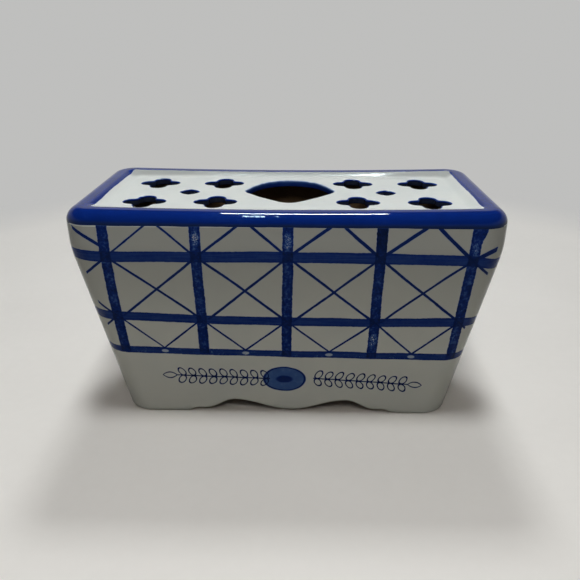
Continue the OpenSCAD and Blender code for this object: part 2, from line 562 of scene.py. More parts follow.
def slab_rings(skin):
    """The rings of the slab's edge from the seam inward, each with a run of corners for every side."""
    layout = [(side, columns(side)) for side in SIDES]
    rings = []
    for level in slab_section():
        points = []
        for side, side_columns in layout:
            places = [slab_place(side, column, level.inset) for column in side_columns[:-1]]
            points.append([skin.point(x, y, level.z - level.sag * sag_at(x)) for x, y in places])
        ring = []
        for side, side_columns in layout:
            own = points[side.number] + points[(side.number + 1) % len(SIDES)][:1]
            ring.append([
                Corner(
                    point,
                    (stand(side, column, 0, seam_z)[2], level.z, side.number),
                    OUT_OF_HOLES,
                    map_place(*slab_place(side, column, level.flat_inset), UPPER_V),
                )
                for point, column in zip(own, side_columns)
            ])
        rings.append(ring)
    return rings


def hole_loops(skin, hole):
    """The loops of a hole's edge, from the plate down to the underside."""
    longest = lip_section()[-1][2]
    loops = []
    for outline, z, way in hole.shape.loops:
        shrink = 1 - HOLE_MAP_SHRINK * max(way, 0) / longest
        loops.append([
            Corner(
                skin.point(hole.x + x, hole.y + y, z),
                PLATE_PAINT,
                way / hole.blue_depth,
                map_place(hole.x + x * shrink, hole.y + y * shrink, UPPER_V),
            )
            for x, y in outline
        ])
    return loops


def top_skin():
    """The pierced top as one closed mesh."""
    skin = Skin()
    rings = slab_rings(skin)
    for lower, upper in zip(rings, rings[1:]):
        for low_run, high_run in zip(lower, upper):
            for i in range(len(low_run) - 1):
                skin.face([high_run[i], low_run[i], low_run[i + 1], high_run[i + 1]])
    upper_loops = [[corner for run in rings[-1] for corner in run[:-1]]]
    under_loops = [[laid_under(skin, corner) for run in rings[0] for corner in run[:-1]]]
    for hole in holes():
        loops = hole_loops(skin, hole)
        for outer, inner in zip(loops, loops[1:]):
            for i in range(len(outer)):
                j = (i + 1) % len(outer)
                skin.face([outer[i], outer[j], inner[j], inner[i]])
        upper_loops.append(loops[0])
        under_loops.append([laid_under(skin, corner) for corner in loops[-1]])
    fill(skin, upper_loops, True, GLAZED)
    fill(skin, under_loops, False, BARE)
    return skin


# The brush: numbers that vary over a surface, worked out by shader nodes

# A noise: the size of its grains in millimetres, how much it does, and how far it breaks up into finer grains
Grain = namedtuple("Grain", "size amount detail", defaults=(1.0, 2.0))

# What brings the noise node's values to about -1 to 1
NOISE_MIDDLE = 0.5
NOISE_GAIN = 3.0

# The colour sockets of a mix node, which has several with the same name
MIX_FIRST = 6
MIX_SECOND = 7
MIX_RESULT = 2


class Field:
    """A number that varies over a surface: the output of a shader node."""

    def __init__(self, tree, output):
        self.tree = tree
        self.output = output

    def node_math(self, operation, *others):
        """The result of a math node on this field and others, each a field or a number."""
        node = self.tree.nodes.new("ShaderNodeMath")
        node.operation = operation
        for socket, value in zip(node.inputs, (self, *others)):
            if isinstance(value, Field):
                self.tree.links.new(value.output, socket)
            else:
                socket.default_value = value
        return Field(self.tree, node.outputs[0])

    __add__ = partialmethod(node_math, "ADD")
    __sub__ = partialmethod(node_math, "SUBTRACT")
    __mul__ = partialmethod(node_math, "MULTIPLY")
    __truediv__ = partialmethod(node_math, "DIVIDE")
    __abs__ = partialmethod(node_math, "ABSOLUTE")
    root = partialmethod(node_math, "SQRT")
    fraction = partialmethod(node_math, "FRACT")
    least = partialmethod(node_math, "MINIMUM")
    most = partialmethod(node_math, "MAXIMUM")
    above = partialmethod(node_math, "GREATER_THAN")
    below = partialmethod(node_math, "LESS_THAN")

    def rest(self):
        """What is left of 1."""
        return self * -1 + 1

    def root_of_squares(self, other):
        return (self * self + other * other).root()

    def ramp(self, start, end):
        """0 before start and 1 past end, smooth between them. End may be the lower one."""
        node = self.tree.nodes.new("ShaderNodeMapRange")
        node.interpolation_type = "SMOOTHSTEP"
        self.tree.links.new(self.output, node.inputs["Value"])
        node.inputs["From Min"].default_value = start
        node.inputs["From Max"].default_value = end
        return Field(self.tree, node.outputs["Result"])

    def under_zero(self, soft):
        """1 where this is under 0 and 0 over it, with a soft edge."""
        return self.ramp(soft, -soft)

    def over_zero(self, soft):
        """1 where this is over 0 and 0 under it, with a soft edge."""
        return self.ramp(-soft, soft)

    def within(self, half, soft):
        """1 where this distance is under half, 0 past it, with a soft edge."""
        return (abs(self) - half).under_zero(soft)


class Surface:
    """The node tree of a material, with the places that its meshes carry."""

    def __init__(self, name):
        self.material = bpy.data.materials.new(name)
        self.material.use_nodes = True
        self.tree = self.material.node_tree
        self.shader = self.tree.nodes["Principled BSDF"]
        self.place = self.tree.nodes.new("ShaderNodeTexCoord").outputs["Object"]

    def parts(self, vector):
        """The three numbers of a vector."""
        split = self.tree.nodes.new("ShaderNodeSeparateXYZ")
        self.tree.links.new(vector, split.inputs[0])
        return [Field(self.tree, output) for output in split.outputs]

    def attribute(self, name):
        """A mesh attribute as its node, whose outputs are a number and a vector."""
        node = self.tree.nodes.new("ShaderNodeAttribute")
        node.attribute_name = name
        return node

    def paint_place(self):
        """Where the brush is: along the side, above the table, and the side's number."""
        return self.parts(self.attribute("paint_at").outputs["Vector"])

    def way_into_hole(self):
        return Field(self.tree, self.attribute("lip_at").outputs["Fac"])

    def body_place(self):
        """The place in the body's axes, in millimetres."""
        return [value / MM for value in self.parts(self.place)]

    def noise(self, grain, place=None):
        """A noise of about -1 to 1 times its amount, in the object's space or at a place of two fields."""
        node = self.tree.nodes.new("ShaderNodeTexNoise")
        node.inputs["Detail"].default_value = grain.detail
        if place is None:
            self.tree.links.new(self.place, node.inputs["Vector"])
            node.inputs["Scale"].default_value = 1 / (grain.size * MM)
        else:
            join = self.tree.nodes.new("ShaderNodeCombineXYZ")
            for field, socket in zip(place, join.inputs):
                self.tree.links.new(field.output, socket)
            self.tree.links.new(join.outputs[0], node.inputs["Vector"])
            node.inputs["Scale"].default_value = 1 / grain.size
        return (Field(self.tree, node.outputs[0]) - NOISE_MIDDLE) * NOISE_GAIN * grain.amount

    def colours(self, field, stops):
        """A colour ramp: stops are (value, colour), with values from 0 up to the last."""
        node = self.tree.nodes.new("ShaderNodeValToRGB")
        ramp = node.color_ramp
        scale = stops[-1][0]
        while len(ramp.elements) < len(stops):
            ramp.elements.new(1.0)
        for element, (value, colour) in zip(ramp.elements, stops):
            element.position = value / scale
            element.color = (*colour, 1.0)
        self.tree.links.new((field / scale).output, node.inputs["Fac"])
        return node.outputs["Color"]

    def mixed(self, share, first, second):
        """A colour between two, each a socket or a fixed colour."""
        node = self.tree.nodes.new("ShaderNodeMix")
        node.data_type = "RGBA"
        self.tree.links.new(share.output, node.inputs["Factor"])
        for number, colour in ((MIX_FIRST, first), (MIX_SECOND, second)):
            socket = node.inputs[number]
            if isinstance(colour, tuple):
                socket.default_value = (*colour, 1.0)
            else:
                self.tree.links.new(colour, socket)
        return node.outputs[MIX_RESULT]

    def relief(self, height, distance):
        """A fine relief: height is about -1 to 1, and distance its depth in millimetres."""
        node = self.tree.nodes.new("ShaderNodeBump")
        node.inputs["Distance"].default_value = distance * MM
        self.tree.links.new(height.output, node.inputs["Height"])
        self.tree.links.new(node.outputs["Normal"], self.shader.inputs["Normal"])

    def finish(self, colour, roughness):
        self.tree.links.new(colour, self.shader.inputs["Base Color"])
        self.tree.links.new(roughness.output, self.shader.inputs["Roughness"])
        return self.material


# The trellis: upright bars, three level rows and thin diagonals

# A bar stands at top and foot, bows to the right between them, and load is the extra paint near its top.
Bar = namedtuple("Bar", "top foot bow load", defaults=(0.0, 0.0))
FRONT_BARS = [
    Bar(-61.4, -60.0, bow=-0.5),
    Bar(-30.3, -30.4),
    Bar(1.1, 0.4),
    Bar(32.5, 32.1, load=0.5),
    Bar(64.2, 61.7),
]
END_BARS = [Bar(-15.8, -15.0), Bar(15.8, 15.0)]
bar_top_z = 80.0
bar_foot_z = 30.0
bar_half = 1.83
# Where the extra paint at the top of a bar sets in
load_z = (68.0, 76.0)
# The last bar spreads to the right under the rim
flare_w = 1.3
flare_z = 75.0
# The bars end this far below the middle of the lowest row
bar_end_drop = 1.0

# A row lies at mid and reaches half above and below. It tilts, bows up by bow at bow_reach, and droops past
# the outer bars. worn is how much of its paint is worn off in specks.
Row = namedtuple("Row", "mid tilt bow half droop_left droop_right worn")
ROWS = [
    Row(69.75, -0.0045, -0.45, 2.0, -0.6, 1.6, 0.0),
    Row(43.65, -0.0123, 1.1, 1.83, 0.0, 1.0, 0.0),
    Row(29.2, -0.0177, 0.2, 1.45, 0.0, -0.3, 0.5),
]
bow_reach = 60.0
droop_reach = 10.0

# The diagonals. Those above the first row are thicker and grow to the right, and the lowest are thinner.
line_half = 0.47
upper_thicker = 0.05
line_growth = 0.003
lower_thinner = 0.10
# Rise of the diagonals above the first row over a whole bay, from the left and from the right
upper_rise_left = 24.4
upper_rise_right = 28.0
# The stroke up to the left from the first bar: its rise there, its slope and bend, and its extra thickness
stroke_rise = 3.0
stroke_slope = 0.82
stroke_bend = 0.0145
stroke_thicker = 0.22
# How much the stroke up to the right from the last bar bends down
right_bend = 0.035
# Where the rising diagonal of a cross leaves the second row, as a share of the bay
cross_start = 0.07
# How far the diagonals run on past the outer bars: at the bars' feet, more for each millimetre up,
# less on the right, and not at all there just above the second row
tick_l = 3.2
tick_growth = 0.16
tick_right_cut = 1.8
tick_blank_h = 9.6
# The lowest diagonals meet this far over the middle of the lowest row, on a white dab there
meet_rise = 1.2
dab_w = 1.5
dab_h = 0.75
dab_drop = 0.15
dab_fade = (1.15, 0.75)
dab_share = 0.65

# How the hand wanders, how the paint is ragged, grainy, specked and patchy, and how rows and lines swell
HAND_ALONG = Grain(24, 0.3)
HAND_UP = Grain(19, 0.25)
RAGGED = Grain(1.1, 0.2, 3)
PAINT_FINE = Grain(0.95, 0.65, 3)
PAINT_COARSE = Grain(2.4, 0.45)
SPECK = Grain(0.5)
PATCH = Grain(6.5)
SWELL = Grain(32, 0.2)
PEN_WIDE = Grain(9, 0.1)
PEN_FINE = Grain(1.4, 0.06)
# The brush's streaks along a row
STREAK = Grain(1.0, 0.09)
streak_l = 14.0
streak_w = 0.625
row_ragged = 0.5

# How soft the edges of the paint are
bar_soft = 0.18
bar_end_soft = 0.4
row_soft = 0.14
line_soft = 0.16
tick_soft = 0.3

# How thick the cobalt lies, what grain and patches do to it, and where and how much it gathers at an edge
bar_density = 0.92
bar_grain = 0.6
bar_edge = (0.7, 1.6)
bar_edge_gain = 0.14
row_density = 0.85
row_grain = 0.05
row_edge_w = 0.7
row_edge_gain = 0.16
line_density = 1.05
line_patch = 0.15
crossing_gain = 0.2

# Places (along, height) where the bars are worn and how much, and how far the wear reaches
Worn = namedtuple("Worn", "s z share")
WORN = [
    Worn(-30.3, 76.6, 0.95),
    Worn(1.1, 75.6, 0.6),
    Worn(63.9, 73.0, 0.5),
    Worn(31.8, 35.8, 0.7),
    Worn(62.1, 37.0, 0.3),
]
worn_w = 1.9
worn_h = 3.2
worn_fade = (1.2, 0.2)
worn_ragged = 0.3
# Wear all over the bars, in patches, and the specks in which the paint of bars and rows comes off
bar_patch = (0.6, 1.2)
bar_patch_share = 0.5
bar_speck = (-0.5, 0.5)
bar_speck_grain = 0.5
row_patch = (-0.3, 0.6)
row_speck = (0.1, 0.9)


def end_rows():
    """The rows on the ends, which meet those of the front and the back at the corners."""
    front, end = SIDES[0], SIDES[1]
    made = []
    for row in ROWS:
        front_half = stand(front, (1, 1), 0, row.mid)[2]
        end_half = stand(end, (1, 1), 0, row.mid)[2]
        made.append(row._replace(
            mid=row.mid + row.bow * (front_half / bow_reach) ** 2,
            tilt=-row.tilt * front_half / end_half,
            bow=0.0,
            droop_left=row.droop_right,
            droop_right=row.droop_left,
        ))
    return made


def square_reach(width, height):
    """Distance from a corner of a box to the line through its two neighbours: it makes a share a distance."""
    return 1 / math.hypot(1 / width, 1 / height)


class Trellis:
    """The trellis of one side. Its fields are places and thicknesses of cobalt."""

    def __init__(self, surface, bars, rows, worn_places):
        self.surface = surface
        self.bars = bars
        self.rows = rows
        self.worn_places = worn_places
        flat_s, flat_z, _ = surface.paint_place()
        self.s = flat_s + surface.noise(HAND_ALONG)
        self.z = flat_z + surface.noise(HAND_UP)
        self.ragged = surface.noise(RAGGED)
        self.grain = surface.noise(PAINT_FINE) + surface.noise(PAINT_COARSE)
        self.speck = surface.noise(SPECK)
        self.patch = surface.noise(PATCH)
        # Where each bar and each row runs
        drop = (self.z * -1 + bar_top_z) / (bar_top_z - bar_foot_z)
        belly = drop * drop.rest() * 4
        self.lines = [drop * (bar.foot - bar.top) + belly * bar.bow + bar.top for bar in bars]
        square = self.s * self.s
        self.levels = [self.s * row.tilt + square * (row.bow / bow_reach ** 2) + row.mid for row in rows]
        # How far a place lies past the first bar, past the last, and past either
        self.past_first = self.lines[0] - self.s
        self.past_last = self.s - self.lines[-1]
        self.beyond = self.past_first.most(self.past_last)
        # The place in its bay, as a share from bar to bar. Past the outer bars the bays go on.
        self.pitch = bars[1].top - bars[0].top
        bay = ((self.s - self.lines[0]) / self.pitch).least(0)
        for left, right in zip(self.lines, self.lines[1:]):
            bay = bay + ((self.s - left) / (right - left)).most(0).least(1)
        bay = bay + (self.past_last / self.pitch).most(0)
        self.share = bay.fraction()

    def upright_bars(self):
        """Bars that are dabbed on: ragged edges, grain inside and a few worn places."""
        s, z, grain = self.s, self.z, self.grain
        spread = z.ramp(flare_z, bar_top_z) * flare_w * s.above(self.lines[-1])
        offset = (abs(self.past_last) - spread).most(0)
        for line in self.lines[:-1]:
            offset = offset.least(abs(s - line))
        wear = self.patch.ramp(*bar_patch) * bar_patch_share
        for place in self.worn_places:
            far = ((s - place.s) / worn_w).root_of_squares((z - place.z) / worn_h)
            far = far + self.patch * worn_ragged + grain * worn_ragged
            wear = wear.most(far.ramp(*worn_fade) * place.share)
        tone = grain * bar_grain + offset.ramp(*bar_edge) * bar_edge_gain + bar_density
        tone = tone - wear * (self.speck + grain * bar_speck_grain).ramp(*bar_speck)
        for line, bar in zip(self.lines, self.bars):
            if bar.load:
                tone = tone + (s - line).within(2 * bar_half, bar_half) * z.ramp(*load_z) * bar.load
        over_end = (z - self.levels[-1] + bar_end_drop).over_zero(bar_end_soft)
        return (offset + self.ragged).within(bar_half, bar_soft) * tone * over_end

    def level_rows(self):
        """Rows that are drawn with a loaded brush: streaks along them and a darker edge."""
        streak = self.surface.noise(STREAK, (self.s / streak_l, self.z / streak_w))
        swell = self.surface.noise(SWELL)
        to_left = self.past_first.ramp(0, droop_reach)
        to_right = self.past_last.ramp(0, droop_reach)
        strokes = None
        for level, row in zip(self.levels, self.rows):
            gap = abs(self.z - level + to_left * row.droop_left + to_right * row.droop_right)
            edge = gap.ramp(row.half - row_edge_w, row.half)
            tone = streak + edge * row_edge_gain + self.grain * row_grain + row_density
            worn = (self.speck + self.grain).ramp(*row_speck) * self.patch.ramp(*row_patch)
            shape = (gap + self.ragged * row_ragged - swell - row.half).under_zero(row_soft)
            stroke = shape * (tone - worn * row.worn)
            strokes = stroke if strokes is None else strokes.most(stroke)
        return strokes

    def upper_gap(self):
        """Distance to the diagonals above the first row, less what they are thicker."""
        rise = self.z - self.levels[0]
        left = self.past_first.most(0)
        right = self.past_last.most(0)
        on_left = left.above(0)
        stroke = left * stroke_slope - left * left * stroke_bend + stroke_rise
        down = self.share.rest() * upper_rise_right
        down = down + (stroke - down) * on_left
        up = self.share * upper_rise_left - right * right * right_bend
        gap = abs(rise - up).least(abs(rise - down)) * math.cos(math.atan(upper_rise_left / self.pitch))
        return gap - self.s * line_growth - upper_thicker - on_left * stroke_thicker

    def middle_gap(self):
        """Distance to the crosses between the first row and the second."""
        first, second, _ = self.levels
        height = (self.z - second) / (first - second)
        falling = abs(height + self.share - 1)
        rising = abs(height - (self.share - cross_start) / (1 - cross_start))
        return falling.least(rising) * square_reach(self.pitch, self.rows[0].mid - self.rows[1].mid)

    def lower_gap(self):
        """Distance to the diagonals between the second row and the third, and what they are thinner."""
        _, second, third = self.levels
        fall = (second - self.z) / (second - third - meet_rise)
        gap = abs(fall - 1 + abs(self.share * 2 - 1))
        return gap * square_reach(self.pitch / 2, self.rows[1].mid - self.rows[2].mid) + lower_thinner

    def diagonals(self):
        """Thin diagonals in the bays, which run on past the outer bars as short ticks."""
        half = self.surface.noise(PEN_WIDE) + self.surface.noise(PEN_FINE) + line_half
        over_first, over_second, over_third = (self.z.above(level) for level in self.levels)
        line = (
            (self.upper_gap() - half).under_zero(line_soft) * over_first
            + (self.middle_gap() - half).under_zero(line_soft) * (over_second - over_first)
            + (self.lower_gap() - half).under_zero(line_soft) * (over_third - over_second)
        )
        on_right = self.s.above(self.lines[-1])
        reach = (self.z - bar_foot_z) * tick_growth + tick_l - on_right * tick_right_cut
        blank = on_right * over_second * self.z.below(self.levels[1] + tick_blank_h)
        shown = (self.beyond - reach).under_zero(tick_soft) * blank.rest()
        return line * shown * (self.patch * line_patch + line_density)

    def dabs(self):
        """White dabs on the lowest row, where two diagonals meet."""
        along = (self.share - 0.5) * self.pitch / dab_w
        up = (self.z - self.levels[-1] + dab_drop) / dab_h
        return along.root_of_squares(up).ramp(*dab_fade) * self.beyond.below(0)

    def paint(self):
        """Thickness of all the cobalt, greater where a bar crosses a row."""
        bars = self.upright_bars()
        rows = self.level_rows() * (self.dabs() * -dab_share + 1)
        return bars.most(rows).most(self.diagonals()) + bars.least(rows) * crossing_gain


# The lower band: a medallion between two sprigs of leaves in pairs
Sprig = namedtuple("Sprig", "start end pairs")
SPRIGS = [
    Sprig((-6.2, 17.2), (-41.9, 18.3), 9),
    Sprig((10.4, 17.6), (46.9, 15.05), 9),
]
medallion_s = -0.6
medallion_z = 17.0
medallion_w = 8.1
medallion_h = 5.9
medallion_fade = (1.01, 0.98)
medallion_density = 0.56
# Its outline lies just inside it
outline_share = 0.97
outline_half = 0.32
outline_soft = 0.12
outline_gain = 0.5
eye_w = 3.1
eye_h = 1.7
eye_fade = (1.25, 0.7)
eye_gain = 0.5
# Leaves lie out from the stem and lean along it. They are drawn in outline and faintly tinted.
leaf_w = 1.3
leaf_h = 1.75
leaf_out = 1.85
leaf_lean = 0.35
leaf_fade = (1.0, 0.9)
leaf_tint = 0.06
tip_l = 2.7
tip_h = 1.35
tip_end = 1.05
pen_half = 0.25
pen_soft = 0.1
pen_density = 1.3
# How the hand wanders, how the leaves differ, how hard the pen is pressed, and the medallion's wash
PEN_ALONG = Grain(7, 0.22)
PEN_UP = Grain(5.5, 0.22)
LEAF_WANDER = Grain(3.5, 0.1)
PRESSURE = Grain(4.2, 0.35)
WASH = Grain(2.4, 0.07, 3)


def sprig_lines(surface, s, z, sprig):
    """Thickness of the cobalt of one sprig: a stem, pairs of leaves and a pointed leaf at its tip."""
    (s0, z0), (s1, z1) = sprig.start, sprig.end
    length = math.dist(sprig.start, sprig.end)
    cos = (s1 - s0) / length
    sin = (z1 - z0) / length
    along = (s - s0) * cos + (z - z0) * sin
    across = abs((z - z0) * cos - (s - s0) * sin)
    pitch = length / sprig.pairs
    on_stem = along.above(0) * along.below(length)
    cell = (along / pitch).fraction() * pitch - pitch / 2
    out = across - leaf_out
    oval = ((cell - out * leaf_lean) / leaf_w).root_of_squares(out / leaf_h)
    oval = oval + surface.noise(LEAF_WANDER)
    leaf = ((oval - 1) * (leaf_w + leaf_h) / 2).within(pen_half, pen_soft) * on_stem
    stem = across.within(pen_half, pen_soft) * on_stem
    ahead = (along - length - tip_l) / tip_l
    bulge = (ahead * ahead).rest() * tip_h
    tip = (across - bulge).within(pen_half, pen_soft) * abs(ahead).below(tip_end)
    tint = oval.ramp(*leaf_fade) * on_stem * leaf_tint
    return leaf.most(stem).most(tip) * (surface.noise(PRESSURE) + pen_density) + tint


def lower_band(surface):
    """Thickness of the cobalt of the medallion and its sprigs."""
    flat_s, flat_z, _ = surface.paint_place()
    s = flat_s + surface.noise(PEN_ALONG)
    z = flat_z + surface.noise(PEN_UP)
    ds = s - medallion_s
    dz = z - medallion_z
    oval = (ds / medallion_w).root_of_squares(dz / medallion_h)
    eye = (ds / eye_w).root_of_squares(dz / eye_h)
    wash = surface.noise(WASH) + medallion_density
    outline = ((oval - outline_share) * medallion_h).within(outline_half, outline_soft)
    painted = oval.ramp(*medallion_fade) * wash + outline * outline_gain + eye.ramp(*eye_fade) * eye_gain
    for sprig in SPRIGS:
        painted = painted.most(sprig_lines(surface, s, z, sprig))
    return painted


# The blue band on the top: its width on each side, how much it widens towards the back, and its lower edge
blue_left = 9.0
blue_right = 8.45
blue_front = 7.6
blue_back = 7.6
blue_left_growth = 0.8
blue_right_growth = 0.2
blue_corner_r = 1.1
band_edge_z = 80.5
band_edge_tilt = -0.0033
band_soft = 0.12
band_density = 0.93
# The band is darker just above its lower edge, between these heights over it
edge_dark_fade = (1.9, 0.2)
edge_dark_gain = 0.5
# The trellis may run on under the band up to this far over its edge
strip_overlap = 2.0
# The edges of the holes, by shares of how deep the blue goes: where it sets in, how much thinner it is than
# the band's, and where painted shade darkens it to near black deep in the hole
lip_fade = (-0.12, 0.35)
lip_thinner = 0.05
hole_shade_fade = (0.5, 1.0)
hole_shade_gain = 1.05
# How the band's edges wander, how its paint varies finely and widely, and how the holes' edges and their
# painted shade do
BAND_EDGE = Grain(13, 0.22)
BAND_FINE = Grain(5, 0.05)
BAND_WIDE = Grain(28, 0.06)
LIP_WANDER = Grain(2.2, 0.04)
HOLE_SHADE_WANDER = Grain(1.3, 0.15)


def long_trellis(surface):
    return Trellis(surface, FRONT_BARS, ROWS, WORN).paint()


def end_trellis(surface):
    return Trellis(surface, END_BARS, end_rows(), []).paint()


def long_side_paint(surface):
    return long_trellis(surface).most(lower_band(surface))


def top_paint(surface):
    """Thickness of the cobalt on the top: the rim's band, the holes' edges with painted shade deep in the
    holes, and the ends of the trellis.
    """
    s, z, number = surface.paint_place()
    x, y, _ = surface.body_place()
    lip = surface.way_into_hole()
    brush = surface.noise(BAND_EDGE)
    # The sides with odd numbers are the ends
    on_end = abs(abs(number - 2) - 1).below(0.5)
    strip = long_trellis(surface) * on_end.rest() + end_trellis(surface) * on_end
    over_edge = z - s * band_edge_tilt + brush - band_edge_z
    edge = over_edge.over_zero(band_soft)
    rearward = (y / body_d * 2).most(0)
    widening = rearward * rearward
    right_w = widening * blue_right_growth + blue_right
    left_w = widening * blue_left_growth + blue_left
    past_end = (x - body_l / 2 + right_w).most(x * -1 - body_l / 2 + left_w)
    past_side = (y - body_d / 2 + blue_back).most(y * -1 - body_d / 2 + blue_front)
    corner = (past_end + blue_corner_r).most(0).root_of_squares((past_side + blue_corner_r).most(0))
    inner = (corner - blue_corner_r + brush).over_zero(band_soft)
    tone = surface.noise(BAND_FINE) + surface.noise(BAND_WIDE) + band_density
    # The band is darker just above its lower edge
    band = edge * inner * (tone + over_edge.ramp(*edge_dark_fade) * edge_dark_gain)
    # Painted shade: deeper into a hole the cobalt thickens to near black
    hole_shade = lip.ramp(*hole_shade_fade) * (surface.noise(HOLE_SHADE_WANDER) + hole_shade_gain)
    cut = (lip + surface.noise(LIP_WANDER)).ramp(*lip_fade) * (tone - lip_thinner) + hole_shade
    return band.most(cut).most(strip * edge.rest() * z.below(band_edge_z + strip_overlap))


# Tones of the glaze, and of the cobalt by how thick it lies. The last is the painted shade deep in the holes.
WHITE = (0.75, 0.76, 0.74)
WHITE_SHADE = (0.71, 0.73, 0.72)
# Painted shade: the grey that the white glaze is darkened to where less light falls on it
SHADE_GREY = (0.46, 0.47, 0.46)
COBALT = [
    (0.0, (0.62, 0.68, 0.78)),
    (0.25, (0.30, 0.40, 0.64)),
    (0.55, (0.055, 0.125, 0.38)),
    (0.9, (0.003, 0.022, 0.20)),
    (1.25, (0.002, 0.012, 0.10)),
    (1.7, (0.002, 0.007, 0.045)),
    (2.0, (0.028, 0.034, 0.060)),
]
# How thick the cobalt lies where it hides the white
COBALT_COVER = (0.0, 0.5)
CLOUD = Grain(16)
CLOUD_FADE = (-0.8, 0.8)
# Painted shade that greys the glaze: towards the rim on the walls, and up the slope at the back of the top
WALL_SHADE_Z = (25.0, 85.0)
SLOPE_SHADE_Z = (plate_z + 0.05, plate_z + 1.0)
SLOPE_SHADE_Y = (20.0, 25.0)
# How much the glaze shines, and how rough it is: smoothest on thick cobalt
TOP_GLOSS = 0.15
WALL_GLOSS = 0.07
GLOSS_TINT = (0.6, 0.92, 1.0, 1.0)
SMOOTHEST = 0.045
WHITE_ROUGHER = 0.09
ROUGH_FADE = (0.6, 0.2)
ROUGH_WANDER = Grain(3, 0.01)
RIPPLE_WIDE = Grain(9, 0.7)
RIPPLE_FINE = Grain(1.6, 0.12)
RIPPLE_DEPTH = 0.035


def wall_painted_shade(surface):
    """How much painted shade greys the glaze of a wall, more towards the rim."""
    return surface.body_place()[2].ramp(*WALL_SHADE_Z)


def top_painted_shade(surface):
    """How much painted shade greys the glaze of the top, up the slope at the back."""
    _, y, z = surface.body_place()
    return z.ramp(*SLOPE_SHADE_Z) * y.ramp(*SLOPE_SHADE_Y)


def glaze(name, paint, painted_shade, gloss):
    """A glossy white glaze over brushed cobalt.

    paint gives the thickness of the cobalt on a surface, and painted_shade how much painted shade greys the
    white.
    """
    surface = Surface(name)
    density = paint(surface)
    white = surface.mixed(surface.noise(CLOUD).ramp(*CLOUD_FADE), WHITE, WHITE_SHADE)
    # Painted shade greys the white
    white = surface.mixed(painted_shade(surface), white, SHADE_GREY)
    colour = surface.mixed(density.ramp(*COBALT_COVER), white, surface.colours(density, COBALT))
    surface.relief(surface.noise(RIPPLE_WIDE) + surface.noise(RIPPLE_FINE), RIPPLE_DEPTH)
    surface.shader.inputs["Specular IOR Level"].default_value = gloss
    surface.shader.inputs["Specular Tint"].default_value = GLOSS_TINT
    roughness = surface.noise(ROUGH_WANDER) + density.ramp(*ROUGH_FADE) * WHITE_ROUGHER + SMOOTHEST
    return surface.finish(colour, roughness)


CLAY = (0.15, 0.095, 0.045)
CLAY_LIGHT = (0.23, 0.155, 0.09)
CLAY_FADE = (-1.0, 1.0)
CLAY_FINE = Grain(0.7, 0.6, 4)
CLAY_COARSE = Grain(8, 0.5)
CLAY_DEPTH = 0.12
CLAY_ROUGHNESS = 0.82
CLAY_ROUGH_WANDER = Grain(2, 0.06)


def bare_clay():
    """Unglazed clay, brown and rough."""
    surface = Surface("bare_clay")
    grain = surface.noise(CLAY_FINE) + surface.noise(CLAY_COARSE)
    colour = surface.mixed(grain.ramp(*CLAY_FADE), CLAY, CLAY_LIGHT)
    surface.relief(grain, CLAY_DEPTH)
    return surface.finish(colour, surface.noise(CLAY_ROUGH_WANDER) + CLAY_ROUGHNESS)


# The pieces
clay = bare_clay()
long_paint = glaze("painted_long_side", long_side_paint, wall_painted_shade, WALL_GLOSS)
end_paint = glaze("painted_end", end_trellis, wall_painted_shade, WALL_GLOSS)
top_glaze = glaze("blue_rimmed_top", top_paint, top_painted_shade, TOP_GLOSS)

for wall_side in SIDES:
    wall_paint = long_paint if wall_side.is_long else end_paint
    wall = wall_skin(wall_side).make("glazed_" + wall_side.node, [wall_paint, clay])
    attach(wall, "root")
    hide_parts(wall_side.node)

top = top_skin().make("glazed_pierced_top", [top_glaze, clay])
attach(top, "root")
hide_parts("pierced_top")

floor_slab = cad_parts["floor"]
floor_slab.data.materials.clear()
floor_slab.data.materials.append(clay)


def ray(tree, kind):
    """1 on one kind of ray, and 0 on the others."""
    path = tree.nodes.new("ShaderNodeLightPath")
    return Field(tree, path.outputs["Is " + kind + " Ray"])


def rays_that_show(tree):
    """1 on a ray by which the camera sees a thing, directly, in a gloss or through glass, and else 0."""
    return ray(tree, "Camera").most(ray(tree, "Glossy")).most(ray(tree, "Transmission"))


# The stage: a plain pale floor that runs out into a plain backdrop
TABLE_SIZE = 6.0
TABLE_TONES = ((0.86, 0.815, 0.785), (0.90, 0.855, 0.825))
TABLE_FADE = (-1.0, 1.0)
TABLE_COARSE = Grain(60, 0.6, 3)
TABLE_FINE = Grain(4, 0.3, 3)
TABLE_ROUGHNESS = 0.85
TABLE_ROUGH_WANDER = Grain(5, 0.03)
# What the floor throws back at the object
TABLE_SHADE = (0.30, 0.28, 0.235)
BACKDROP_TINT = (1.0, 1.0, 0.985)
BACKDROP_LEVEL = 0.52
# How far out from the object the floor turns into the backdrop
BACKDROP_FADE = (0.27, 0.36)
BLACK = (0.0, 0.0, 0.0)


